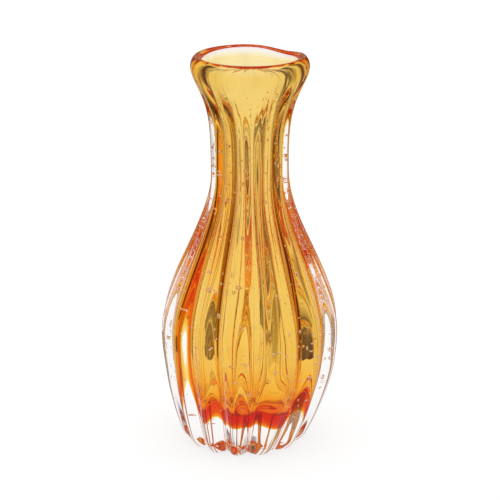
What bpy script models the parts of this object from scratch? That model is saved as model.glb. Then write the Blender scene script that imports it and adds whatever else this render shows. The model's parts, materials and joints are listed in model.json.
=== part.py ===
"""Hand-blown bud vase of cased glass, modelled as it is gathered in the hot shop.

amber_core    the first gather: a thin amber bubble that holds the stem and the water
clear_casing  the second gather: thick clear crystal over the core, ribbed in an optic mould,
              drawn into a neck, flared into a lip and left heavy at the foot
pontil_scar   what the pontil iron left behind, snapped off inside the hollow under the foot

The vase stands on Z = 0 with its axis on Z, and a rib's crest faces -Y.  Lengths are in metres.
Each wall is a function radius(height), and the outer walls are the bore plus the glass on it, so
the layers stay nested when a size changes.
"""

import math

import bpy
import numpy as np

MM = 0.001

# ---- Driving dimensions ---------------------------------------------------------------------
HEIGHT = 160 * MM  # foot to the crest of the lip
FUSED_GAP = 0.3 * MM  # the layers are one glass, but their solids stay this far apart

# The bore, which is the inside of the amber
BELLY_BORE = 22.5 * MM  # radius where the hollow is widest
NECK_BORE = 10.4 * MM  # radius where it is narrowest
BORE_BELLY_HEIGHT = 47 * MM
BORE_SQUARENESS = 3.2  # 2 gives the hollow a round bottom, more makes it squarer

# The amber on the bore
CORE_WALL = 1.7 * MM
CORE_FLOOR = 5.5 * MM

# The clear glass on the amber, measured over the crests of the ribs
CLEAR_BELLY_WALL = 12.1 * MM
CLEAR_NECK_WALL = 3.5 * MM
CLEAR_FLOOR = 10.5 * MM  # from the foot up to the amber
BELLY_HEIGHT = 47.5 * MM
SHOULDER_DROP = 46.5 * MM  # the shoulder ends in the neck this far under the crest
FLARE_DROP = 70 * MM  # the neck's flare starts, very slowly, this far under the crest
FLARE_POWER = 4.0  # the higher, the later the flare opens

# The lip, a fire-polished half round
LIP_RADIUS = 23.4 * MM
LIP_WALL = 5.2 * MM
LIP_ROUND = 4.5 * MM  # height of the half round

# The ribs, crest to groove
RIBS = 14
RIB_SOFTNESS = 0.22  # 0 makes each groove a sharp V
FOOT_RIB_DEPTH = 3.0 * MM
BELLY_RIB_DEPTH = 2.6 * MM
NECK_RIB_DEPTH = 1.1 * MM
CORE_RIB_DEPTH = 1.0 * MM  # what the mould still presses into the amber at the belly

# The foot
FOOT_RADIUS = 20.8 * MM  # outer edge of the flat that the vase stands on
HEEL_RADIUS = 26.4 * MM  # where the rounded heel runs into the side
HEEL_HEIGHT = 4.2 * MM
HEEL_POWER = 1.9  # how the side bends from the heel up to the belly

# The pontil scar and the punt that it sits in
SCAR_RADIUS = 6.2 * MM
SCAR_THICKNESS = 1.7 * MM
SCAR_ROUGHNESS = 0.28 * MM  # how far the broken face rises and falls
SCAR_OFFSET = 0.6 * MM  # the iron never sits dead on the axis
SCAR_LIFT = 1.2 * MM  # the broken face clears the table by this much
PUNT_MARGIN = 2.8 * MM  # from the scar's edge to the punt's

# What the hand leaves uneven
FOOT_DRIFT = 2.3 * MM  # the foot sits this far off the axis, towards -X
DRIFT_HEIGHT = 34 * MM  # the drift dies out here
LIP_DIP = 1.4 * MM  # the lip sags this far ...
LIP_DIP_TURN = math.radians(48)  # ... in this direction from +X ...
LIP_DIP_SPREAD = math.radians(26)  # ... over about this angle ...
LIP_DIP_REACH = 14 * MM  # ... and this far down the flare

# Fineness of the solids
CASING_STEPS_PER_RIB = 6
CORE_STEPS_PER_RIB = 6
SCAR_STEPS = 18
SHOULDER_RINGS = 9
FLARE_RINGS = 7
BOTTOM_RINGS = 7

# ---- Worked out from them -------------------------------------------------------------------
BELLY_RADIUS = BELLY_BORE + CORE_WALL + FUSED_GAP + CLEAR_BELLY_WALL
NECK_RADIUS = NECK_BORE + CORE_WALL + FUSED_GAP + CLEAR_NECK_WALL
CORE_BOTTOM = CLEAR_FLOOR + FUSED_GAP
BORE_BOTTOM = CORE_BOTTOM + CORE_FLOOR
PUNT_RADIUS = SCAR_RADIUS + PUNT_MARGIN
PUNT_DEPTH = SCAR_LIFT + SCAR_THICKNESS + FUSED_GAP
LIP_MIDDLE = LIP_RADIUS - LIP_WALL / 2
LIP_BASE = HEIGHT - LIP_ROUND
LIP_BORE = LIP_RADIUS - LIP_WALL


# ---- Walls ----------------------------------------------------------------------------------
def between(low, high, z):
    """How far z has gone from low to high, held between 0 and 1."""
    return np.clip((z - low) / (high - low), 0.0, 1.0)


def ease(t):
    """0 to 1 with flat ends."""
    return t * t * (3.0 - 2.0 * t)


def upper_wall(z, belly, belly_height, neck, lip):
    """The radius from the belly up: eased in to the neck while the flare slowly opens to the lip."""
    inward = ease(between(belly_height, HEIGHT - SHOULDER_DROP, z))
    outward = ease(between(HEIGHT - FLARE_DROP, LIP_BASE, z) ** FLARE_POWER)
    return belly + (neck - belly) * inward + (lip - neck) * outward


def casing_radius(z):
    """Outside of the clear casing, over the rib crests."""
    upper = upper_wall(z, BELLY_RADIUS, BELLY_HEIGHT, NECK_RADIUS, LIP_RADIUS)
    below = 1.0 - between(HEEL_HEIGHT, BELLY_HEIGHT, z)
    return upper - (BELLY_RADIUS - HEEL_RADIUS) * below**HEEL_POWER


def bubble_radius(z, bottom, grown):
    """A blown bubble: the bore grown outwards by a thickness, closed below by a squarish dome."""
    upper = grown + upper_wall(z, BELLY_BORE, BORE_BELLY_HEIGHT, NECK_BORE, LIP_BORE)
    depth = 1.0 - between(bottom, BORE_BELLY_HEIGHT, z)
    return upper * (1.0 - depth**BORE_SQUARENESS) ** (1.0 / BORE_SQUARENESS)


def rib_depth(z):
    """How deep the casing's grooves are at this height: deep at the foot, gone at the lip."""
    lower = ease(between(0.0, BELLY_HEIGHT, z))
    upper = ease(between(BELLY_HEIGHT, HEIGHT - SHOULDER_DROP, z))
    fade = 1.0 - ease(between(HEIGHT - SHOULDER_DROP, LIP_BASE, z))
    depth = FOOT_RIB_DEPTH + (BELLY_RIB_DEPTH - FOOT_RIB_DEPTH) * lower
    return (depth + (NECK_RIB_DEPTH - BELLY_RIB_DEPTH) * upper) * fade


def groove(turn):
    """0 on a rib's crest and 1 in the groove beside it, with a crest at -Y."""
    crest = abs(math.cos(RIBS * (turn + math.pi / 2) / 2))
    return 1.0 - (math.hypot(crest, RIB_SOFTNESS) - RIB_SOFTNESS) / (
        math.hypot(1.0, RIB_SOFTNESS) - RIB_SOFTNESS
    )


# ---- Outlines: rows of (radius, height, rib depth) ------------------------------------------
def rows(radii, heights, depths):
    return np.column_stack(np.broadcast_arrays(radii, heights, depths))


def lip_arc(start, end, count):
    """Points round the lip's half round; 0 is its outer side and pi its inner side."""
    turn = np.linspace(start, end, count)
    return rows(LIP_MIDDLE + LIP_WALL / 2 * np.cos(turn), LIP_BASE + LIP_ROUND * np.sin(turn), 0.0)


def lip_angle(radius):
    """Where on the half round a radius lies."""
    return math.acos((radius - LIP_MIDDLE) / (LIP_WALL / 2))


def side_heights(low):
    """Heights up the shoulder and the flare, closer together where the flare opens."""
    shoulder = np.linspace(low, HEIGHT - SHOULDER_DROP, SHOULDER_RINGS)
    opening = np.linspace(0.0, 1.0, FLARE_RINGS + 1)[1:] ** 0.7
    return np.concatenate([shoulder, shoulder[-1] + (LIP_BASE - shoulder[-1]) * opening])


def bubble_wall(bottom, grown):
    """A bubble's outline from its lower pole up to the base of the lip."""
    turn = np.linspace(0.0, math.pi / 2, BOTTOM_RINGS)[:-1]
    dome = BORE_BELLY_HEIGHT - (BORE_BELLY_HEIGHT - bottom) * np.cos(turn)
    heights = np.concatenate([dome, side_heights(BORE_BELLY_HEIGHT)])
    depths = CORE_RIB_DEPTH / BELLY_RIB_DEPTH * rib_depth(heights)
    return rows(bubble_radius(heights, bottom, grown), heights, depths)


def core_outline():
    """The bore from its pole up to the lip, over the amber's end and down its outside."""
    bore = bubble_wall(BORE_BOTTOM, 0.0)
    end = lip_arc(math.pi, lip_angle(LIP_BORE + CORE_WALL), 5)[1:]
    outside = bubble_wall(CORE_BOTTOM, CORE_WALL)
    return np.concatenate([bore, end, outside[::-1]])


def casing_outline():
    """The pocket for the core, the lip, the ribbed side, the heel, the foot's flat and the punt."""
    pocket = bubble_wall(CLEAR_FLOOR, CORE_WALL + FUSED_GAP)
    lip = lip_arc(lip_angle(LIP_BORE + CORE_WALL + FUSED_GAP), 0.0, 6)
    heights = np.concatenate(
        [np.linspace(HEEL_HEIGHT, BELLY_HEIGHT, BOTTOM_RINGS)[:-1], side_heights(BELLY_HEIGHT)]
    )
    side = rows(casing_radius(heights), heights, rib_depth(heights))[-2::-1]
    turn = np.linspace(0.0, math.pi / 2, 5)[::-1]
    heel = rows(
        FOOT_RADIUS + (HEEL_RADIUS - FOOT_RADIUS) * np.sin(turn[1:]),
        HEEL_HEIGHT * (1.0 - np.cos(turn[1:])),
        FOOT_RIB_DEPTH,
    )
    punt = rows(PUNT_RADIUS * np.sin(turn), PUNT_DEPTH * np.cos(turn), 0.0)
    return np.concatenate([pocket, lip, side, heel, punt])


def scar_outline():
    """A button with a crowned top that follows the punt and a flat broken face."""
    turn = np.linspace(0.0, math.pi / 2, 6)
    crown = rows(SCAR_RADIUS * np.sin(turn), SCAR_THICKNESS * np.cos(turn), 0.0)
    face = rows(SCAR_RADIUS * np.array([0.7, 0.35, 0.0]), 0.0, 0.0)
    return np.concatenate([crown, face])


# ---- Turning, ribbing and bending -----------------------------------------------------------
def turned(name, outline, steps, collection):
    """Turns an outline about Z with a Screw modifier, which carries each row's rib depth round."""
    profile = bpy.data.meshes.new(name)
    points = [(radius, 0.0, height) for radius, height, _ in outline]
    profile.from_pydata(points, [(i, i + 1) for i in range(len(points) - 1)], [])
    depths = profile.attributes.new("rib_depth", "FLOAT", "POINT")
    depths.data.foreach_set("value", outline[:, 2])

    vessel = bpy.data.objects.new(name, profile)
    collection.objects.link(vessel)
    screw = vessel.modifiers.new("Turn", "SCREW")
    screw.steps = steps
    screw.render_steps = steps
    screw.use_merge_vertices = True
    screw.merge_threshold = 0.00001

    graph = bpy.context.evaluated_depsgraph_get()
    mesh = bpy.data.meshes.new_from_object(vessel.evaluated_get(graph))
    vessel.modifiers.clear()
    vessel.data = mesh
    bpy.data.meshes.remove(profile)
    return vessel


def rib_and_bend(vessel):
    """Presses the grooves in, then drifts the foot and dips the lip as hot glass does."""
    depths = [item.value for item in vessel.data.attributes["rib_depth"].data]
    for vertex, depth in zip(vessel.data.vertices, depths):
        x, y, z = vertex.co
        radius = math.hypot(x, y)
        turn = math.atan2(y, x)
        radius = max(radius - depth * groove(turn), 0.0) if radius > depth else radius
        away = math.remainder(turn - LIP_DIP_TURN, math.tau) / LIP_DIP_SPREAD
        sag = LIP_DIP * math.exp(-away * away) * ease(between(HEIGHT - LIP_DIP_REACH, HEIGHT, z))
        drift = FOOT_DRIFT * (1.0 - between(0.0, DRIFT_HEIGHT, z)) ** 1.2
        vertex.co = (radius * math.cos(turn) - drift, radius * math.sin(turn), z - sag)


def snap_off(scar):
    """Roughens the scar with crossing waves, so that it looks snapped and not turned."""
    for vertex in scar.data.vertices:
        x, y, z = vertex.co / SCAR_RADIUS
        wave = math.sin(7 * x + 3 * y) + 0.6 * math.sin(11 * y - 5 * x + 1) + 0.4 * math.sin(9 * z + 13 * x)
        vertex.co *= 1.0 - SCAR_ROUGHNESS / SCAR_RADIUS * (1.0 + wave / 2)


# ---- Materials ------------------------------------------------------------------------------
def glass(name, colour, roughness):
    material = bpy.data.materials.new(name)
    material.use_nodes = True
    shader = material.node_tree.nodes["Principled BSDF"]
    shader.inputs["Base Color"].default_value = (*colour, 1.0)
    shader.inputs["Roughness"].default_value = roughness
    shader.inputs["Metallic"].default_value = 0.0
    shader.inputs["Transmission Weight"].default_value = 1.0
    shader.inputs["IOR"].default_value = 1.5
    return material


# ---- Build ----------------------------------------------------------------------------------
def clear_scene():
    for thing in list(bpy.data.objects):
        bpy.data.objects.remove(thing, do_unlink=True)


def make_casing(collection):
    casing = turned("clear_casing", casing_outline(), RIBS * CASING_STEPS_PER_RIB, collection)
    rib_and_bend(casing)
    casing.data.materials.append(glass("clear_crystal", (0.97, 0.98, 0.98), 0.02))


def make_core(collection):
    core = turned("amber_core", core_outline(), RIBS * CORE_STEPS_PER_RIB, collection)
    rib_and_bend(core)
    core.data.materials.append(glass("amber_glass", (0.95, 0.50, 0.06), 0.02))


def make_scar(collection):
    scar = turned("pontil_scar", scar_outline(), SCAR_STEPS, collection)
    snap_off(scar)
    scar.location = (SCAR_OFFSET - FOOT_DRIFT, 0.0, SCAR_LIFT)
    scar.data.materials.append(glass("snapped_glass", (0.90, 0.88, 0.86), 0.35))


def main():
    clear_scene()
    vase = bpy.data.collections.new("cased_glass_bud_vase")
    bpy.context.scene.collection.children.link(vase)
    make_core(vase)
    make_casing(vase)
    make_scar(vase)


main()
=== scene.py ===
# %% [markdown]
# # A hand-blown bud vase in cased glass
# The vase is one lump of glass made from two gathers. An amber bubble is blown first. It is dipped
# in clear crystal, pressed into a ribbed optic mould, drawn out into a neck and opened into a lip.
# The script loads the finished construction as a fixed frame and gives it the looks: smooth ribbed
# walls, trapped bubbles, an amber that absorbs light, a broken pontil scar and plain studio light.

# %% Load the frame
import json
import math

import bpy
import numpy as np
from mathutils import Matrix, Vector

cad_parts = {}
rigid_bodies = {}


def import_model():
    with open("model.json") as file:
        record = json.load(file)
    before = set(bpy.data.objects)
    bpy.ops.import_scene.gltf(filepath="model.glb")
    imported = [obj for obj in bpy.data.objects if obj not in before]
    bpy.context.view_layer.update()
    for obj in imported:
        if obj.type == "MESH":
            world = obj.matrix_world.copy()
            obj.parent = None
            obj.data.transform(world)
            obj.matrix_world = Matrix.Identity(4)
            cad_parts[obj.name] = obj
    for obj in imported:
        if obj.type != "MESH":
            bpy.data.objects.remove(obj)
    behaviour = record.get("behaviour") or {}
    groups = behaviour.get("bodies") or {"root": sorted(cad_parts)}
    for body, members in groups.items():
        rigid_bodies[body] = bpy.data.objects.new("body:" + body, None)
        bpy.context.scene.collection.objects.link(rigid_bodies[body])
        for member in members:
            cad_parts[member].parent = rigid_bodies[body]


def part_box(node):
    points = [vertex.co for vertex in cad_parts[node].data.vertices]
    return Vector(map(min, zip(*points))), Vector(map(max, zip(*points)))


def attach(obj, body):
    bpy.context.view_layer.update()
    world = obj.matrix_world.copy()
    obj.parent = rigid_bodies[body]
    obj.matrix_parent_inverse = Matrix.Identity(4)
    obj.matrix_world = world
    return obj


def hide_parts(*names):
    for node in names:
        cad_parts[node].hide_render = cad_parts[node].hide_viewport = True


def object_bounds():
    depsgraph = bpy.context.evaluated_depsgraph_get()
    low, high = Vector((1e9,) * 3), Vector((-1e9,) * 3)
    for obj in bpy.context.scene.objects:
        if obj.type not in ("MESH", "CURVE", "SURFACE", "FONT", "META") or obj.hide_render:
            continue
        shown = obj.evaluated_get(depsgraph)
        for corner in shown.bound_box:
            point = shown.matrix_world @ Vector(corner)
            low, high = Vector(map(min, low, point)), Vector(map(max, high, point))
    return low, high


for thing in list(bpy.data.objects):
    bpy.data.objects.remove(thing, do_unlink=True)
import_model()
scene = bpy.context.scene
CAD_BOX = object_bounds()
MM = 0.001
print("CAD box in mm:", [[round(c / MM, 1) for c in corner] for corner in CAD_BOX])

# %% [markdown]
# ## Camera
# The camera looks a little down on the vase from the front. It stands over four heights away with a
# long lens, as in a product studio, so the near and far walls keep their proportions. Distance and
# height are shares of the vase's height, so the framing holds for a vase of another size.

# %% Camera
HEIGHT = CAD_BOX[1].z - CAD_BOX[0].z
CAMERA_BACK, CAMERA_UP = 4.298 * HEIGHT, 1.9135 * HEIGHT
CAMERA_TILT_DOWN, CAMERA_LENS = 18.2, 129.3
camera = bpy.data.objects.new("camera", bpy.data.cameras.new("camera"))
camera.location = (0.0, -CAMERA_BACK, CAMERA_UP)
camera.rotation_euler = (math.radians(90 - CAMERA_TILT_DOWN), 0.0, 0.0)
camera.data.lens = CAMERA_LENS
camera.data.clip_start = 0.01
scene.collection.objects.link(camera)
scene.camera = camera
print("the camera stands", round(camera.location.length, 3), "m from the vase")

# %% [markdown]
# ## The walls as formulas
# Every wall of a blown vase is a radius that changes with height. The outside eases in from the
# belly to the neck and opens late into the flare. The bore is the same curve with its own sizes.
# One function of height serves both, so the two walls stay parallel where the glass is thin.

# %% Wall formulas
BELLY_BORE, NECK_BORE = 22.5 * MM, 10.4 * MM
BELLY_RADIUS, NECK_RADIUS = 36.3 * MM, 15.8 * MM
BELLY_HEIGHT, BORE_BELLY_HEIGHT = 47.5 * MM, 47.0 * MM
LIP_RADIUS, LIP_WALL, LIP_ROUND = 23.4 * MM, 5.2 * MM, 4.5 * MM
HEEL_RADIUS, HEEL_HEIGHT, FOOT_RADIUS = 26.4 * MM, 4.2 * MM, 23.2 * MM
DRAW_IN_POWER, FLARE_POWER = 1.9, 4.0
BORE_BOTTOM, BORE_POWER = 16.3 * MM, 3.2
AMBER_WALL, AMBER_BOTTOM = 1.7 * MM, 10.8 * MM
SHOULDER_TOP, FLARE_START, LIP_BASE = HEIGHT - 46.5 * MM, HEIGHT - 70 * MM, HEIGHT - LIP_ROUND


def between(low, high, z):
    """How far z has gone from low to high, held between 0 and 1."""
    return np.clip((z - low) / (high - low), 0.0, 1.0)


def ease(t):
    """3t^2 - 2t^3: 0 to 1 with flat ends."""
    return t * t * (3.0 - 2.0 * t)


def upper_wall(z, belly, belly_height, neck, lip):
    """Belly radius, less an eased step to the neck, plus a flare that opens with the 4th power."""
    inward = ease(between(belly_height, SHOULDER_TOP, z))
    outward = ease(between(FLARE_START, LIP_BASE, z) ** FLARE_POWER)
    return belly + (neck - belly) * inward + (lip - neck) * outward


def outside_radius(z):
    """The upper wall, less a power curve that draws the side in from the belly to the heel."""
    below = 1.0 - between(HEEL_HEIGHT, BELLY_HEIGHT, z)
    upper = upper_wall(z, BELLY_RADIUS, BELLY_HEIGHT, NECK_RADIUS, LIP_RADIUS)
    return upper - (BELLY_RADIUS - HEEL_RADIUS) * below**DRAW_IN_POWER


def bore_radius(z, bottom, grown):
    """The bore's wall, grown outwards, closed below by a squarish dome, which is a superellipse."""
    depth = 1.0 - between(bottom, BORE_BELLY_HEIGHT, z)
    upper = upper_wall(z, BELLY_BORE, BORE_BELLY_HEIGHT, NECK_BORE, LIP_RADIUS - LIP_WALL)
    return (upper + grown) * (1.0 - depth**BORE_POWER) ** (1 / BORE_POWER)


for height in (30, 47, 90, 125, 150):
    pair = outside_radius(height * MM) / MM, bore_radius(height * MM, BORE_BOTTOM, 0.0) / MM
    print(f"at {height} mm the outside is {pair[0]:.1f} mm and the bore {pair[1]:.1f} mm in radius")

# %% [markdown]
# ## Ribs
# The optic mould presses fourteen round lobes into the hot glass, with a narrow groove between each
# pair. The grooves are deepest at the foot, soften on the belly as the glass is blown out of the
# mould, and melt away in the lip. The absolute value of a cosine gives round lobes with sharp
# grooves, and a small number added under the root rounds the groove's bottom. Hand work leaves the
# ribs unevenly wide and deep, so their angle is warped and their depth swells round the vase.

# %% Rib formulas
RIBS = 14
GROOVE_SOFTNESS = 0.22
FOOT_RIBS, BELLY_RIBS, NECK_RIBS = 3.4 * MM, 3.1 * MM, 1.7 * MM
RIBS_FADE = HEIGHT - 34 * MM
BORE_SHARE = 0.45
FRONT_WARP, SMALL_WARP = 0.145, 0.016


def rib_depth(z):
    """Crest to groove: eased from the foot's depth to the belly's, the neck's, and nothing."""
    lower = FOOT_RIBS + (BELLY_RIBS - FOOT_RIBS) * ease(between(0.0, BELLY_HEIGHT, z))
    upper = (NECK_RIBS - BELLY_RIBS) * ease(between(BELLY_HEIGHT, SHOULDER_TOP, z))
    return (lower + upper) * (1.0 - ease(between(RIBS_FADE, LIP_BASE, z)))


def groove(turn, z):
    """1 in a groove, 0 on a crest: one minus a softened absolute cosine of a warped angle."""
    warp = FRONT_WARP * (0.5 - 0.5 * np.sin(turn)) ** 3 + SMALL_WARP * np.sin(5 * turn + 2.0 + 9 * z / HEIGHT)
    crest = np.cos(RIBS * (turn + warp + math.pi / 2) / 2)
    swell = 1.0 + 0.16 * np.sin(3 * turn + 1.1) + 0.12 * np.sin(5 * turn + 4.0)
    soft = GROOVE_SOFTNESS
    return swell * (1.0 - (np.hypot(crest, soft) - soft) / (math.hypot(1.0, soft) - soft))


deepest = groove(np.linspace(0, math.tau, 500), BELLY_HEIGHT).max() * BELLY_RIBS
print("groove depth at the belly runs up to", round(float(deepest / MM), 2), "mm")

# %% [markdown]
# ## What the hand leaves uneven
# No blown vase is quite round. The foot sits a little to one side, where the iron held it, and the
# lip sags on one side. Every layer of glass moves together, so one bend serves them all. The bore
# never touches a mould, so drawing the neck leaves fine lengthwise creases in it.

# %% Bend and creases
DIP_DEPTH, DIP_BEARING, DIP_SPREAD = 1.4 * MM, math.radians(48), math.radians(26)
DIP_START = HEIGHT - 14 * MM
DRIFT, DRIFT_TOP = 2.3 * MM, 34 * MM
CREASE, FINE_CREASE, WAVE = 0.05 * MM, 0.035 * MM, 0.06 * MM


def bend(radius, turn, z):
    """Polar to x, y, then the foot's drift to -X and the lip's dip at one side, a bell curve of bearing."""
    away = np.remainder(turn - DIP_BEARING + math.pi, math.tau) - math.pi
    dip = DIP_DEPTH * np.exp(-((away / DIP_SPREAD) ** 2)) * ease(between(DIP_START, HEIGHT, z))
    x = radius * np.cos(turn) - DRIFT * (1.0 - between(0.0, DRIFT_TOP, z)) ** 1.2
    return np.stack(np.broadcast_arrays(x, radius * np.sin(turn), z - dip), axis=-1)


def creases(turn, z):
    """Three sines round the bore, 29 to 61 to the turn, that drift sideways and swell with height.

    They fade out in the dome of the bore, and to a third up the neck.
    """
    up = z / HEIGHT
    coarse = np.sin(29 * turn + 2.2 * np.sin(3 * turn + 2 * up) + 3 * up)
    middle = np.sin(43 * turn + 1.7 * np.sin(4 * turn - 3 * up)) * np.sin(7 * turn + 7 * up)
    fine = np.sin(61 * turn + 2.6 * np.sin(2 * turn + 5 * up)) * np.sin(5 * turn - 6 * up + 1)
    fade = ease(between(BORE_BOTTOM, 30 * MM, z)) * (1.0 - 0.7 * ease(between(BELLY_HEIGHT, SHOULDER_TOP, z)))
    return (CREASE * (coarse + middle) + FINE_CREASE * fine) * fade


def waves(turn, z):
    """Slow hollows a few millimetres long that jacks and paddles leave on the outside."""
    fade = ease(between(8 * MM, 20 * MM, z)) * (1.0 - 0.6 * ease(between(HEIGHT - 20 * MM, HEIGHT, z)))
    slow = np.sin(z / (7 * MM) + 4 * np.sin(2 * turn + 1)) * np.sin(9 * turn + z / (11 * MM))
    return -WAVE * (1.0 + slow) * fade


test_turns = np.linspace(0, math.tau, 500)
print("creases are up to", round(float(np.abs(creases(test_turns, BELLY_HEIGHT)).max() / MM), 3), "mm deep")
print("hollows are up to", round(float(-waves(test_turns, BELLY_HEIGHT).min() / MM), 3), "mm deep")


# %% [markdown]
# ## One mesh from a grid
# A wall is a grid of points: one row for each height and one column for each direction. A pole
# closes each end, and the last column wraps round to the first, so no seam is left. Points and faces
# are worked out as whole arrays.

# %% Grid to mesh


def grid_faces(rows, columns):
    """Quads between neighbouring rows, wrapped round, with a fan of triangles to the pole at each end.

    Point 0 is the first pole, the rows follow it, and the last point is the other pole.
    """
    ring = np.arange(columns)
    after = np.roll(ring, -1)
    low = 1 + np.arange(rows - 1)[:, None] * columns
    quads = np.stack([low + ring, low + after, low + columns + after, low + columns + ring], axis=-1)
    top = 1 + (rows - 1) * columns
    start = np.stack([np.zeros(columns, int), 1 + after, 1 + ring], axis=-1)
    end = np.stack([np.full(columns, top + columns), top + ring, top + after], axis=-1)
    return quads.reshape(-1, 4), np.concatenate([start, end])


def closed_wall(points, start_pole, end_pole):
    """Vertices, quads and triangles of a wall that runs from one pole to the other."""
    vertices = np.concatenate([[start_pole], points.reshape(-1, 3), [end_pole]])
    return vertices, *grid_faces(*points.shape[:2])


def new_piece(name, parts):
    """One smooth object from a list of (vertices, quads, triangles)."""
    starts = np.cumsum([0] + [len(part[0]) for part in parts[:-1]])
    faces = []
    for start, part in zip(starts, parts):
        faces += (part[1] + start).tolist() + (part[2] + start).tolist()
    mesh = bpy.data.meshes.new(name)
    mesh.from_pydata(np.concatenate([part[0] for part in parts]).tolist(), [], faces)
    mesh.shade_smooth()
    piece = bpy.data.objects.new(name, mesh)
    scene.collection.objects.link(piece)
    mesh.calc_loop_triangles()
    print(name, "has", len(mesh.loop_triangles), "triangles")
    return piece


print("a grid of 3 rows and 4 columns has", [len(part) for part in grid_faces(3, 4)], "quads and triangles")


# %% [markdown]
# ## The crystal
# The crystal is modelled as the whole body of glass: from the punt under the foot, up the ribbed
# outside, over the lip and down the bore to its bottom. Amber and crystal bend light the same way,
# so where they fuse there is no surface to see, and only this outer skin refracts.

# %% Crystal walls
COLUMNS = RIBS * 24
PUNT_RADIUS, PUNT_DEPTH = 9.0 * MM, 3.2 * MM
HEEL_START, HEEL_END = math.radians(38), math.radians(62)
turns = np.linspace(-math.pi / 2, 1.5 * math.pi, COLUMNS, endpoint=False)[None, :]


def as_rows(*parts):
    """Joins lists of (radius, height, rib depth) into three columns."""
    joined = [np.concatenate(np.broadcast_arrays(*part), axis=None).reshape(3, -1) for part in parts]
    return np.concatenate(joined, axis=1)[:, :, None]


def foot_rows():
    """Quarter ellipse of the punt, the flat ring, and a heel whose arc ends near the side's own slope."""
    quarter = np.linspace(0.0, math.pi / 2, 8)[1:]
    ring = np.linspace(0, 1, 7)[1:-1]
    heel = np.linspace(HEEL_START, HEEL_END, 10)
    across = (HEEL_RADIUS - FOOT_RADIUS) / (math.sin(HEEL_END) - math.sin(HEEL_START))
    upward = HEEL_HEIGHT / (math.cos(HEEL_START) - math.cos(HEEL_END))
    return as_rows(
        (PUNT_RADIUS * np.sin(quarter), PUNT_DEPTH * np.cos(quarter), 0.0),
        (PUNT_RADIUS + (FOOT_RADIUS - PUNT_RADIUS) * ring, 0.0, ring * FOOT_RIBS),
        (
            FOOT_RADIUS + across * (np.sin(heel) - math.sin(HEEL_START)),
            upward * (math.cos(HEEL_START) - np.cos(heel)),
            FOOT_RIBS,
        ),
    )


foot = foot_rows()
climb = np.linspace(HEEL_HEIGHT, LIP_BASE, 88)[1:-1]
side = as_rows((outside_radius(climb), climb, rib_depth(climb)))
half = np.linspace(0.0, math.pi, 17)
lip = as_rows((LIP_RADIUS - LIP_WALL / 2 * (1 - np.cos(half)), LIP_BASE + LIP_ROUND * np.sin(half), 0.0))
down = np.linspace(LIP_BASE, BORE_BELLY_HEIGHT, 56)[1:]
fall = np.sin(np.linspace(0, math.pi / 2, 24)[1:-1])
down = np.concatenate([down, BORE_BELLY_HEIGHT - (BORE_BELLY_HEIGHT - BORE_BOTTOM) * fall])
bore = as_rows((bore_radius(down, BORE_BOTTOM, 0.0), down, BORE_SHARE * rib_depth(down)))


def ribbed(rows, extra=0.0):
    """Rows turned into a grid: the radius less its rib depth times the groove, plus a ripple."""
    radius, z, depth = rows
    return bend(radius - depth * groove(turns, z) + extra, turns, z)


crystal_grid = np.concatenate(
    [ribbed(foot), ribbed(side, waves(turns, side[1])), ribbed(lip), ribbed(bore, creases(turns, bore[1]))]
)
punt_pole = bend(0.0, 0.0, 0.0) + (0.0, 0.0, PUNT_DEPTH)
crystal_wall = closed_wall(crystal_grid, punt_pole, bend(0.0, 0.0, BORE_BOTTOM))

# %% [markdown]
# ## Trapped bubbles
# Dipping the amber into the second gather traps air on its surface. Blowing and drawing then
# stretches each bubble along the wall. Two rows of them, pinched by the mould, climb the belly like
# the rungs of a ladder, and two larger ovals sit under the lip. A bubble is a cavity, so it is a
# closed shell in the crystal's own mesh whose faces look inwards. All of them share one small
# sphere, placed and stretched as arrays.

# %% Bubbles
BUBBLES, RUNGS = 620, 10
BALL_RINGS, BALL_SIDES = 4, 8
draw = np.random.default_rng(14)


def wall_point(turn, z, share):
    """A point between the amber's outside (share 0) and the crystal's outside (share 1)."""
    dip = groove(turn, z) * rib_depth(z)
    inner = bore_radius(z, AMBER_BOTTOM, AMBER_WALL) - BORE_SHARE * dip
    return bend(inner + share * (outside_radius(z) - dip - inner), turn, z)


def shells(turn, z, share, across, along):
    """Ellipsoids on the wall: a sphere of 8 by 4 points and two poles, stretched along the wall's slope."""
    middle = wall_point(turn, z, share)
    upward = wall_point(turn, z + 0.5 * MM, share) - middle
    upward /= np.linalg.norm(upward, axis=-1, keepdims=True)
    sideways = np.stack([-np.sin(turn), np.cos(turn), 0 * turn], axis=-1)
    outward = np.cross(sideways, upward)
    low = np.linspace(-math.pi / 2, math.pi / 2, BALL_RINGS + 2)[1:-1, None]
    ring = np.linspace(0, math.tau, BALL_SIDES, endpoint=False)[None, :]
    ball = np.broadcast_arrays(np.cos(low) * np.cos(ring), np.cos(low) * np.sin(ring), np.sin(low))
    ball = np.concatenate([[[0, 0, -1.0]], np.stack(ball, axis=-1).reshape(-1, 3), [[0, 0, 1.0]]])
    lengths = np.stack([across, np.minimum(across, along), along], axis=-1)
    axes = lengths[:, :, None] * np.stack([sideways, outward, upward], axis=1)
    points = middle[:, None, :] + ball @ axes
    quads, fans = grid_faces(BALL_RINGS, BALL_SIDES)
    starts = (np.arange(len(turn)) * len(ball))[:, None, None]
    quads = (quads[:, ::-1] + starts).reshape(-1, 4)
    fans = (fans[:, ::-1] + starts).reshape(-1, 3)
    return points.reshape(-1, 3), quads, fans


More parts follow.
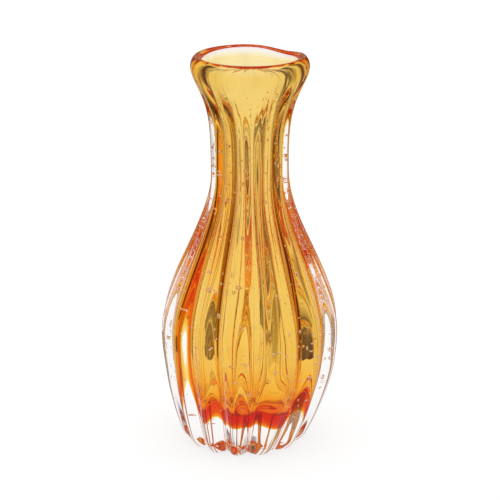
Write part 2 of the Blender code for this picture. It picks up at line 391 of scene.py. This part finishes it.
size = np.clip(draw.lognormal(math.log(0.31), 0.32, BUBBLES), 0.17, 0.58) * MM
high = (9 + 142 * draw.beta(1.25, 1.45, BUBBLES)) * MM
bearings, shares = draw.uniform(0, math.tau, BUBBLES), draw.uniform(0.12, 0.8, BUBBLES)
loose = shells(bearings, high, shares, size, size * draw.uniform(1.0, 2.3, BUBBLES))
rungs = np.concatenate([np.linspace(27, 54, RUNGS), np.linspace(24, 52, RUNGS)]) * MM
beside = np.radians(np.repeat([-131.0, -42.0], RUNGS) + draw.uniform(-2.5, 2.5, 2 * RUNGS))
rung_width = draw.uniform(0.5, 1.1, 2 * RUNGS) * MM
ladder = shells(beside, rungs, np.full(2 * RUNGS, 0.72), rung_width, np.full(2 * RUNGS, 0.32 * MM))
rim_turns, rim_heights = np.radians([70.0, 61.5]), np.array([149.6, 149.2]) * MM
rim_size, rim_length = np.array([0.7, 0.8]) * MM, np.array([1.5, 1.2]) * MM
rim = shells(rim_turns, rim_heights, np.array([0.5, 0.55]), rim_size, rim_length)
print(f"loose bubbles are {size.min() * 2 / MM:.2f} to {size.max() * 2 / MM:.2f} mm across")

casing = new_piece("crystal_casing", [crystal_wall, loose, ladder, rim])
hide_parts("clear_casing")
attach(casing, "root")

# %% [markdown]
# ## The amber
# The amber lies just under the glass's inner skin, all along the bore. It is thick at the bottom,
# where the first gather hangs, and thins over the neck and the lip to a thin edge near the lip's
# crest, because blowing and flaring stretch it most there. It is a closed shell that only tints the
# light on its way through.

# %% Amber walls
SKIN = 0.08 * MM
EDGE_TURN, EDGE_STEPS = math.radians(126), 9
THINNED, THIN_FROM, THIN_TO = 0.1, 60 * MM, 130 * MM


def lip_rows(turn, inset):
    """The lip's half round, drawn smaller by an inset, from its bore side towards its crest."""
    radius = LIP_RADIUS - LIP_WALL / 2 + (LIP_WALL / 2 - inset) * np.cos(turn)
    return radius, LIP_BASE + (LIP_ROUND - inset) * np.sin(turn), 0.0


def amber_rows():
    """Rows up the outer face from its pole, over the thin edge in the lip and down the inner face."""
    dome = np.sin(np.linspace(0, math.pi / 2, 24)[1:-1])[::-1]
    up = np.linspace(BORE_BELLY_HEIGHT, LIP_BASE, 50)
    outer = np.concatenate([BORE_BELLY_HEIGHT - (BORE_BELLY_HEIGHT - AMBER_BOTTOM) * dome, up])
    inner = np.concatenate([BORE_BELLY_HEIGHT - (BORE_BELLY_HEIGHT - BORE_BOTTOM + SKIN) * dome, up])[::-1]
    thin = 1.0 - THINNED * ease(between(THIN_FROM, THIN_TO, outer))
    turn = np.linspace(math.pi, EDGE_TURN, EDGE_STEPS)
    edge = SKIN + (AMBER_WALL * thin[-1] - SKIN) * between(EDGE_TURN, math.pi, turn) ** 1.5
    outside = bore_radius(outer, AMBER_BOTTOM, SKIN + (AMBER_WALL - SKIN) * thin)
    return as_rows(
        (outside, outer, BORE_SHARE * rib_depth(outer)),
        lip_rows(turn[1:], edge[1:]),
        lip_rows(turn[::-1][1:-1], np.full(EDGE_STEPS - 2, SKIN)),
        (bore_radius(inner, BORE_BOTTOM - SKIN, SKIN), inner, BORE_SHARE * rib_depth(inner)),
    )


amber = amber_rows()
amber_grid = ribbed(amber, creases(turns, amber[1]))
amber_wall = closed_wall(amber_grid, bend(0.0, 0.0, AMBER_BOTTOM), bend(0.0, 0.0, BORE_BOTTOM - SKIN))
core = new_piece("amber_core_glass", [amber_wall])
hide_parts("amber_core")
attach(core, "root")

# %% [markdown]
# ## The pontil scar
# The vase was held by its foot on an iron rod while the lip was worked. Cracking it off leaves a
# button of glass in the punt with a broken face. Glass breaks in shells, so the face carries curved
# ripples round the point where the crack began, on top of a coarse, lumpy break.

# %% Scar
SCAR_RADIUS, SCAR_LIFT, SCAR_CROWN = 5.673 * MM, 1.25 * MM, 1.426 * MM
LUMP, RIPPLE, BREAK_LIFT = 0.22 * MM, 0.10 * MM, 0.12 * MM
scar_low, scar_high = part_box("pontil_scar")
SCAR_MIDDLE = np.array([(scar_low[0] + scar_high[0]) / 2, (scar_low[1] + scar_high[1]) / 2, SCAR_LIFT])


def scar_grid():
    """Rings out along the broken face, then in over a crowned top, with an outline that isn't round.

    The break is lumps from products of sines and ripples round a point, fading to nothing at the rim.
    """
    turn = np.linspace(0, math.tau, 96, endpoint=False)[None, :]
    out = np.linspace(0.0, 1.0, 26)[1:, None]
    back = np.linspace(0.0, math.pi / 2, 12)[1:-1, None]
    share = np.concatenate([out, np.cos(back)])
    x, y = share * np.cos(turn), share * np.sin(turn)
    lumps = np.sin(5 * x + 2 * y + 1) * np.sin(6 * y - 3 * x) + 0.5 * np.sin(13 * x - 9 * y)
    from_crack = np.hypot(x + 0.7, y - 0.3)
    ripples = np.sin(26 * from_crack) * np.exp(-2 * from_crack)
    broken = (LUMP * lumps + RIPPLE * ripples) * (1 - share**4) + BREAK_LIFT
    crown = SCAR_CROWN * np.sin(np.concatenate([0 * out, back])) * np.ones_like(turn)
    height = np.where(np.arange(len(share))[:, None] < len(out), broken, crown)
    outline = SCAR_RADIUS * (1 + 0.05 * np.sin(3 * turn + 1) + 0.03 * np.sin(7 * turn))
    return np.stack([outline * x, outline * y, height], axis=-1) + SCAR_MIDDLE


scar_points = scar_grid()
scar_wall = closed_wall(scar_points[:, ::-1], scar_points[0].mean(0), SCAR_MIDDLE + (0.0, 0.0, SCAR_CROWN))
scar = new_piece("pontil_scar_break", [scar_wall])
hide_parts("pontil_scar")
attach(scar, "root")

# %% [markdown]
# ## Material tools
# A colour is written as an sRGB hex code, as on a colour chart, and turned into linear light. One
# small function adds a node with its settings and links, so each material reads as a recipe.

# %% Material tools


def linear(code):
    """An sRGB hex colour as linear light: the sRGB curve turned back, channel by channel."""
    channels = [int(code[i : i + 2], 16) / 255 for i in (1, 3, 5)]
    return (*[c / 12.92 if c <= 0.04045 else ((c + 0.055) / 1.055) ** 2.4 for c in channels], 1.0)


def add(tree, kind, settings=None, links=None):
    """Adds a node, sets its properties and sockets, and links sockets from other nodes' outputs."""
    node = tree.nodes.new(kind)
    for key, value in (settings or {}).items():
        if isinstance(key, int) or key in node.inputs:
            node.inputs[key].default_value = value
        else:
            setattr(node, key, value)
    for key, source in (links or {}).items():
        tree.links.new(source, node.inputs[key])
    return node


def new_material(name, piece):
    """An empty node material on a piece."""
    material = bpy.data.materials.new(name)
    material.use_nodes = True
    material.node_tree.nodes.clear()
    piece.data.materials.clear()
    piece.data.materials.append(material)
    return material.node_tree


print("amber on a chart, as linear light:", [round(c, 2) for c in linear("#f3cf69")])

# %% [markdown]
# ## Clear crystal
# Fire polishing melts the skin smooth, so the surface is nearly perfect. What the eye reads is the
# cord: faint lengthwise streaks where two lots of glass never quite mixed, stretched by drawing. A
# noise stretched fourteenfold along Z gives them as a bump of a few hundredths of a millimetre. The
# ring that the vase stands on is worn dull by tables, a roughness that fades out by 0.2 mm up.

# %% Crystal material
CORD_WIDTH, CORD_LENGTH, CORD_DEPTH = 5 * MM, 70 * MM, 0.10 * MM
WEAR_HEIGHT, WORN_ROUGHNESS = 0.2 * MM, 0.1
tree = new_material("clear_crystal_fire_polished", casing)
place = add(tree, "ShaderNodeTexCoord")
stretch = add(tree, "ShaderNodeMapping", {"Scale": (1 / CORD_WIDTH, 1 / CORD_WIDTH, 1 / CORD_LENGTH)},
              {"Vector": place.outputs["Object"]})
cord = add(tree, "ShaderNodeTexNoise", {"Scale": 1.0, "Detail": 2.0, "Roughness": 0.5},
           {"Vector": stretch.outputs[0]})
streaks = add(tree, "ShaderNodeBump", {"Strength": 0.25, "Distance": CORD_DEPTH},
              {"Height": cord.outputs["Fac"]})
level = add(tree, "ShaderNodeSeparateXYZ", links={"Vector": place.outputs["Object"]})
worn = add(tree, "ShaderNodeMapRange", {"From Max": WEAR_HEIGHT, "To Min": WORN_ROUGHNESS, "To Max": 0.0},
           {"Value": level.outputs["Z"]})
skin = add(tree, "ShaderNodeBsdfPrincipled",
           {"Base Color": linear("#ffffff"), "IOR": 1.5, "Transmission Weight": 1.0},
           {"Normal": streaks.outputs[0], "Roughness": worn.outputs[0]})
add(tree, "ShaderNodeOutputMaterial", links={"Surface": skin.outputs[0]})
print("streaks are", round(CORD_WIDTH / MM), "mm wide and", round(CORD_LENGTH / MM), "mm long")

# %% [markdown]
# ## Amber glass
# Amber takes blue light first, then green, and hardly any red, so it runs from straw yellow where it
# is thin to orange and deep red where the light goes a long way through it. The absorption of a metre
# of glass is set for each colour. The skin has an index of 1, because the amber is fused to crystal.

# %% Amber material
RED_TAKEN, GREEN_TAKEN, BLUE_TAKEN = 11.0, 140.0, 620.0
tree = new_material("amber_glass_fused", core)
tint = (1 - RED_TAKEN / BLUE_TAKEN, 1 - GREEN_TAKEN / BLUE_TAKEN, 0.0, 1.0)
skin = add(tree, "ShaderNodeBsdfPrincipled",
           {"Base Color": linear("#ffffff"), "Roughness": 0.0, "IOR": 1.0, "Transmission Weight": 1.0})
depth = add(tree, "ShaderNodeVolumeAbsorption", {"Color": tint, "Density": BLUE_TAKEN})
add(tree, "ShaderNodeOutputMaterial", links={"Surface": skin.outputs[0], "Volume": depth.outputs[0]})
for name, taken in (("red", RED_TAKEN), ("green", GREEN_TAKEN), ("blue", BLUE_TAKEN)):
    print("two walls of amber pass", round(100 * math.exp(-taken * 2 * AMBER_WALL)), "percent of the", name)

# %% [markdown]
# ## Snapped glass
# A break in glass is bright on its smooth shells and dull where it splintered, and the iron leaves a
# brown scale on it. A coarse noise sets where the scale lies and where the break is dull, and a fine
# one raises the splinters.

# %% Scar material
PATCH_SIZE, SPLINTER_SIZE, SPLINTER_DEPTH = 3 * MM, 0.5 * MM, 0.15 * MM
tree = new_material("glass_snapped_from_iron", scar)
place = add(tree, "ShaderNodeTexCoord")
patches = add(tree, "ShaderNodeTexNoise", {"Scale": 1 / PATCH_SIZE, "Detail": 5.0},
              {"Vector": place.outputs["Object"]})
scale = add(tree, "ShaderNodeValToRGB", links={"Fac": patches.outputs["Fac"]})
for stop, position, shade in zip(scale.color_ramp.elements, (0.38, 0.60), ("#8c6350", "#e8dcd6")):
    stop.position = position
    stop.color = linear(shade)
splinter = add(tree, "ShaderNodeTexNoise", {"Scale": 1 / SPLINTER_SIZE, "Detail": 4.0},
               {"Vector": place.outputs["Object"]})
grain = add(tree, "ShaderNodeBump", {"Strength": 0.7, "Distance": SPLINTER_DEPTH},
            {"Height": splinter.outputs["Fac"]})
dull = add(tree, "ShaderNodeMapRange", {"From Min": 0.3, "From Max": 0.7, "To Min": 0.12, "To Max": 0.55},
           {"Value": patches.outputs["Fac"]})
skin = add(tree, "ShaderNodeBsdfPrincipled", {"IOR": 1.5, "Transmission Weight": 0.75},
           {"Base Color": scale.outputs[0], "Roughness": dull.outputs[0], "Normal": grain.outputs[0]})
add(tree, "ShaderNodeOutputMaterial", links={"Surface": skin.outputs[0]})
print("scale patches are", round(PATCH_SIZE / MM, 1), "mm across and splinters", round(SPLINTER_SIZE / MM, 1))

# %% [markdown]
# ## Floor
# The floor is a white sweep of paper. The camera sees it as part paper and part glow, and the paper's
# share keeps the vase's shadow. Clear glass shows whatever is behind it, so light that has passed
# through the vase meets a clean white. The mirror image of the floor in the vase's side would lay a
# pale veil over the amber, so light that is only mirrored meets a dimmer floor, as if a studio had
# laid a grey card in front. Light bent through glass counts as glossy too, so the transmission test
# comes last and wins. A hair of air is left under the foot, as under any glass that stands on paper.

# %% Floor
FLOOR, FLOOR_REACH = -0.05 * MM, 4.0
CLEAN_WHITE, MIRRORED_WHITE, PAPER_SHARE, GLOW_SHARE = 1.0, 0.35, 0.30, 0.76
corners = [(x * FLOOR_REACH, y * FLOOR_REACH, FLOOR) for x, y in ((-1, -1), (1, -1), (1, 1), (-1, 1))]
floor = bpy.data.objects.new("studio_floor", bpy.data.meshes.new("studio_floor"))
floor.data.from_pydata(corners, [], [(0, 1, 2, 3)])
scene.collection.objects.link(floor)
tree = new_material("white_paper_sweep", floor)
path = add(tree, "ShaderNodeLightPath")
paper = add(tree, "ShaderNodeBsdfDiffuse", {"Color": linear("#e8e8e8")})
shaded = add(tree, "ShaderNodeBsdfDiffuse", {"Color": (PAPER_SHARE, PAPER_SHARE, PAPER_SHARE, 1.0)})
glow = add(tree, "ShaderNodeEmission", {"Strength": GLOW_SHARE})
both = add(tree, "ShaderNodeAddShader", links={0: shaded.outputs[0], 1: glow.outputs[0]})
clean = add(tree, "ShaderNodeEmission", {"Strength": CLEAN_WHITE})
dim = add(tree, "ShaderNodeEmission", {"Strength": MIRRORED_WHITE})
direct = add(tree, "ShaderNodeMixShader",
             links={0: path.outputs["Is Camera Ray"], 1: paper.outputs[0], 2: both.outputs[0]})
mirror = add(tree, "ShaderNodeMixShader",
             links={0: path.outputs["Is Glossy Ray"], 1: direct.outputs[0], 2: dim.outputs[0]})
glazed = add(tree, "ShaderNodeMixShader",
             links={0: path.outputs["Is Transmission Ray"], 1: mirror.outputs[0], 2: clean.outputs[0]})
add(tree, "ShaderNodeOutputMaterial", links={"Surface": glazed.outputs[0]})
print("a mirrored ray sees the floor at", MIRRORED_WHITE, "and a refracted ray at", CLEAN_WHITE)

# %% [markdown]
# ## Flags
# Clear glass is drawn by what stands round it. Dark brown cards with soft edges, called flags, stand
# out of the camera's view. The glass bends and mirrors them into dark bands beside its ribs, which is
# what shows its shape. The flags cast no shadow, and no matt surface sees them. Each is listed by
# its bearing and its width, both in degrees.

# %% Flags
FLAG_DISTANCE, FLAG_BOTTOM, FLAG_HEIGHT = 0.13, 0.001, 0.32
FLAG_STEPS, FLAG_BROWN = 16, "#4a1e08"
FLAGS = ((36, 35), (84, 59), (-60, 54), (-106, 51), (165, 40))


def flag(name, azimuth, width):
    """A card bent round the vase at a bearing from +Y, whose cover fades as a raised cosine to its edges."""
    bearing = np.radians(azimuth + width * np.linspace(-0.5, 0.5, FLAG_STEPS + 1))
    ring = np.stack([FLAG_DISTANCE * np.sin(bearing), FLAG_DISTANCE * np.cos(bearing), 0 * bearing], axis=-1)
    points = np.concatenate([ring + (0, 0, FLAG_BOTTOM), ring + (0, 0, FLAG_HEIGHT)])
    low = np.arange(FLAG_STEPS)
    high = low + FLAG_STEPS + 1
    card = bpy.data.objects.new(name, bpy.data.meshes.new(name))
    card.data.from_pydata(points.tolist(), [], np.stack([low, low + 1, high + 1, high], axis=-1).tolist())
    cover = np.tile(0.5 - 0.5 * np.cos(np.linspace(0, math.tau, FLAG_STEPS + 1)), 2) ** 0.7
    card.data.attributes.new("cover", "FLOAT", "POINT").data.foreach_set("value", cover)
    scene.collection.objects.link(card)
    card.visible_camera = False
    card.visible_diffuse = False
    card.visible_shadow = False
    tree = new_material("velvet_" + name, card)
    fade = add(tree, "ShaderNodeAttribute", {"attribute_name": "cover"})
    velvet = add(tree, "ShaderNodeEmission", {"Color": linear(FLAG_BROWN)})
    gap = add(tree, "ShaderNodeBsdfTransparent")
    both = add(tree, "ShaderNodeMixShader",
               links={0: fade.outputs["Fac"], 1: gap.outputs[0], 2: velvet.outputs[0]})
    add(tree, "ShaderNodeOutputMaterial", links={"Surface": both.outputs[0]})


for number, (azimuth, width) in enumerate(FLAGS):
    flag(f"flag_{number}", azimuth, width)
print(len(FLAGS), "flags hide", sum(width for _, width in FLAGS), "of the 360 degrees round the vase")

# %% [markdown]
# ## White room
# Soft, even light comes from a white room all round. Purely mirrored light sees the room dimmer, for
# the reason given for the floor: it keeps the amber deep and the highlights few. That share is the
# glossy test less the transmission test. Light crosses many skins of glass on its way, and each one
# counts as a bounce, so the limits on bounces are raised until no path through the vase goes black.

# %% White room
ROOM_WHITE, MIRRORED_ROOM, MOST_BOUNCES = 0.98, 0.2, 48
world = bpy.data.worlds.new("white_room")
scene.world = world
world.use_nodes = True
tree = world.node_tree
tree.nodes.clear()
path = add(tree, "ShaderNodeLightPath")
mirrored = add(tree, "ShaderNodeMath", {"operation": "SUBTRACT", "use_clamp": True},
               {0: path.outputs["Is Glossy Ray"], 1: path.outputs["Is Transmission Ray"]})
room = add(tree, "ShaderNodeMapRange", {"To Min": ROOM_WHITE, "To Max": MIRRORED_ROOM},
           {"Value": mirrored.outputs[0]})
white = add(tree, "ShaderNodeBackground", {"Color": linear("#ffffff")}, {"Strength": room.outputs[0]})
add(tree, "ShaderNodeOutputWorld", links={"Surface": white.outputs[0]})
scene.view_settings.view_transform = "Standard"
scene.cycles.max_bounces = MOST_BOUNCES
scene.cycles.transparent_max_bounces = MOST_BOUNCES
scene.cycles.transmission_bounces = MOST_BOUNCES
scene.cycles.glossy_bounces = MOST_BOUNCES
print("the room shines at", ROOM_WHITE, "and a mirrored ray sees it at", MIRRORED_ROOM)
